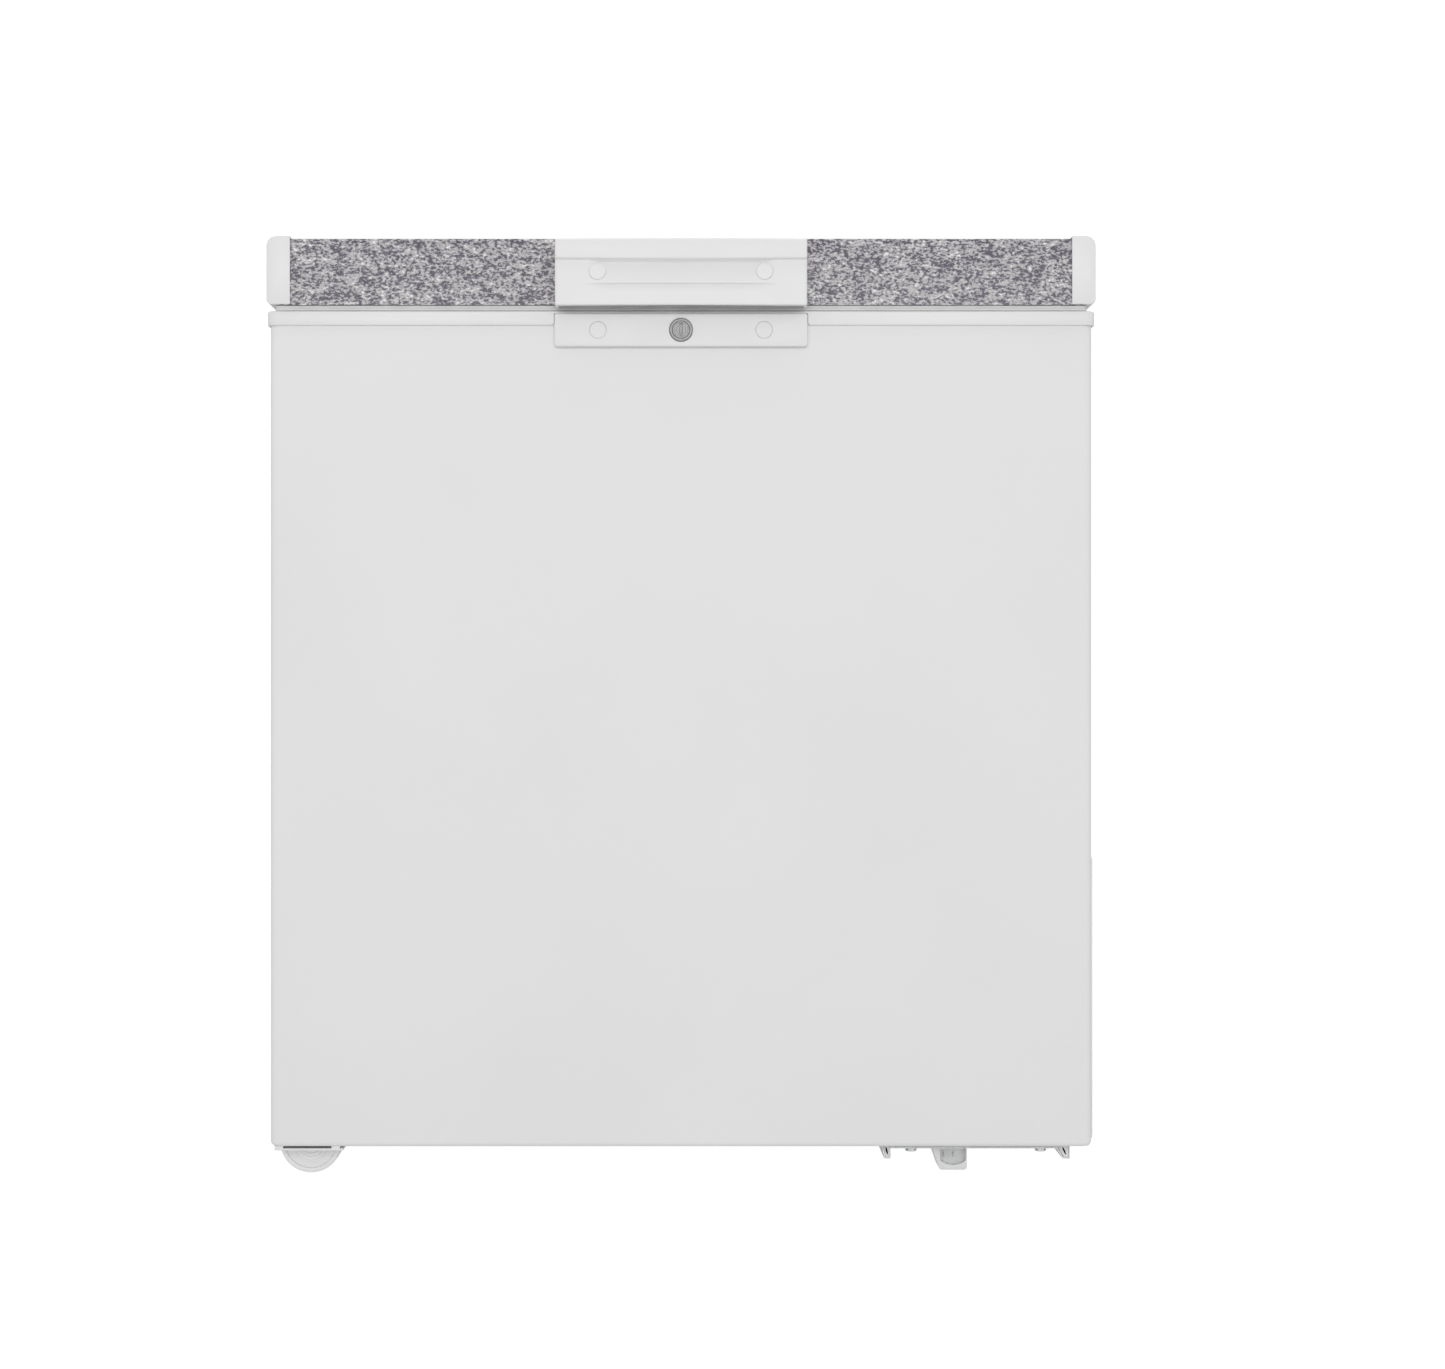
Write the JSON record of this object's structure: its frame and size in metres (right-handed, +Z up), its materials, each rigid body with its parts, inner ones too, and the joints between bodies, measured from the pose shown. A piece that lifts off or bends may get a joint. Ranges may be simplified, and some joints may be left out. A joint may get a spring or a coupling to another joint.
{
  "type": "chest freezer",
  "caption": "White chest freezer with a hinged top lid, a bar handle over a keyed lock, a hanging wire basket, rollers and fixed feet.",
  "frame": {"origin": "on the floor, under the middle of the whole object's bounding box", "axes": "+Z up, -Y towards the front with the handle and lock, +X to the right seen from the front"},
  "size_m": [0.755, 0.725, 0.86],
  "materials": {
    "white_steel": "gloss white paint",
    "pattern_steel": "laminated film with a mottled grey and mauve pattern",
    "white_plastic": "satin moulded white",
    "gasket_vinyl": "soft pale grey vinyl",
    "liner_aluminium": "embossed bright sheet",
    "foam": "rigid foam",
    "zinc_steel": "zinc plated",
    "compressor_shell": "black enamel",
    "black_plastic": "moulded",
    "copper": "drawn tube",
    "rubber": "black",
    "grey_plastic": "moulded",
    "lock_metal": "die cast, dull grey",
    "roller_plastic": "moulded",
    "switch_orange": "gloss",
    "green_lens": "clear coloured",
    "red_lens": "clear coloured",
    "basket_coat": "white dipped coat"
  },
  "bodies": {
    "cabinet": {"outer_shell": "white_steel", "bottom_plate": "zinc_steel", "compartment_wall": "zinc_steel", "cabinet_foam": "foam", "inner_liner": "liner_aluminium", "top_collar": "white_plastic", "roller_housing_front": "white_plastic", "roller_housing_rear": "white_plastic", "roller_axle_front": "zinc_steel", "roller_axle_rear": "zinc_steel", "compressor_tray": "zinc_steel", "front_foot": "white_plastic", "rear_foot": "white_plastic", "evaporator_tube": "copper", "condenser_tube": "copper", "compressor": "compressor_shell", "compressor_grommet_1": "rubber", "compressor_grommet_2": "rubber", "compressor_grommet_3": "rubber", "compressor_grommet_4": "rubber", "terminal_cover": "black_plastic", "suction_line": "copper", "discharge_line": "copper", "filter_drier": "copper", "capillary_tube": "copper", "side_grille": "white_plastic", "power_lens": "green_lens", "alarm_lens": "red_lens", "rear_cover": "zinc_steel", "cord_gland": "black_plastic", "drain_tube": "white_plastic", "lock_plate": "white_plastic", "plate_cap_left": "white_plastic", "plate_cap_right": "white_plastic", "hinge_base_left": "zinc_steel", "hinge_base_right": "zinc_steel", "hinge_pin_left": "zinc_steel", "hinge_pin_right": "zinc_steel", "hinge_spring_left": "zinc_steel", "hinge_spring_right": "zinc_steel"},
    "lid": {"lid_skin": "pattern_steel", "lid_side_left": "white_plastic", "lid_side_right": "white_plastic", "lid_foam": "foam", "lid_liner": "white_plastic", "lid_gasket": "gasket_vinyl", "lid_handle": "white_plastic", "handle_cap_left": "white_plastic", "handle_cap_right": "white_plastic", "lock_striker": "zinc_steel", "hinge_leaf_left": "zinc_steel", "hinge_leaf_right": "zinc_steel"},
    "lock": {"lock_cylinder": "lock_metal", "lock_cam": "zinc_steel"},
    "thermostat": {"thermostat_dial": "grey_plastic"},
    "switch": {"fast_freeze_switch": "switch_orange"},
    "front_roller": {"roller_wheel_front": "roller_plastic"},
    "rear_roller": {"roller_wheel_rear": "roller_plastic"},
    "plug": {"drain_plug": "grey_plastic"},
    "basket": {"basket": "basket_coat"}
  },
  "joints": [
    {"name": "lid_hinge", "type": "hinge", "parent": "cabinet", "child": "lid", "pos_m": [0, 0.3525, 0.795], "axis": [-1, 0, 0], "range_deg": [0, 80], "stiffness_Nm_per_rad": 9.5, "springref_deg": 89.95},
    {"name": "lock_turn", "type": "hinge", "parent": "cabinet", "child": "lock", "pos_m": [0, -0.3395, 0.774], "axis": [0, -1, 0], "range_deg": [0, 90]},
    {"name": "thermostat_turn", "type": "hinge", "parent": "cabinet", "child": "thermostat", "pos_m": [0.37, -0.215, 0.235], "axis": [1, 0, 0], "range_deg": [0, 270]},
    {"name": "switch_rock", "type": "hinge", "parent": "cabinet", "child": "switch", "pos_m": [0.37, -0.153, 0.235], "axis": [0, -1, 0], "range_deg": [0, 12]},
    {"name": "front_roller_spin", "type": "hinge", "parent": "cabinet", "child": "front_roller", "pos_m": [-0.3425, -0.279, 0.0285], "axis": [0, 1, 0], "continuous": true},
    {"name": "rear_roller_spin", "type": "hinge", "parent": "cabinet", "child": "rear_roller", "pos_m": [-0.3425, 0.279, 0.0285], "axis": [0, 1, 0], "continuous": true},
    {"name": "plug_lift", "type": "slide", "parent": "cabinet", "child": "plug", "axis": [0, 0, 1], "range_m": [0, 0.04]},
    {"name": "basket_slide", "type": "slide", "parent": "cabinet", "child": "basket", "axis": [-1, 0, 0], "range_m": [0, 0.39]}
  ]
}
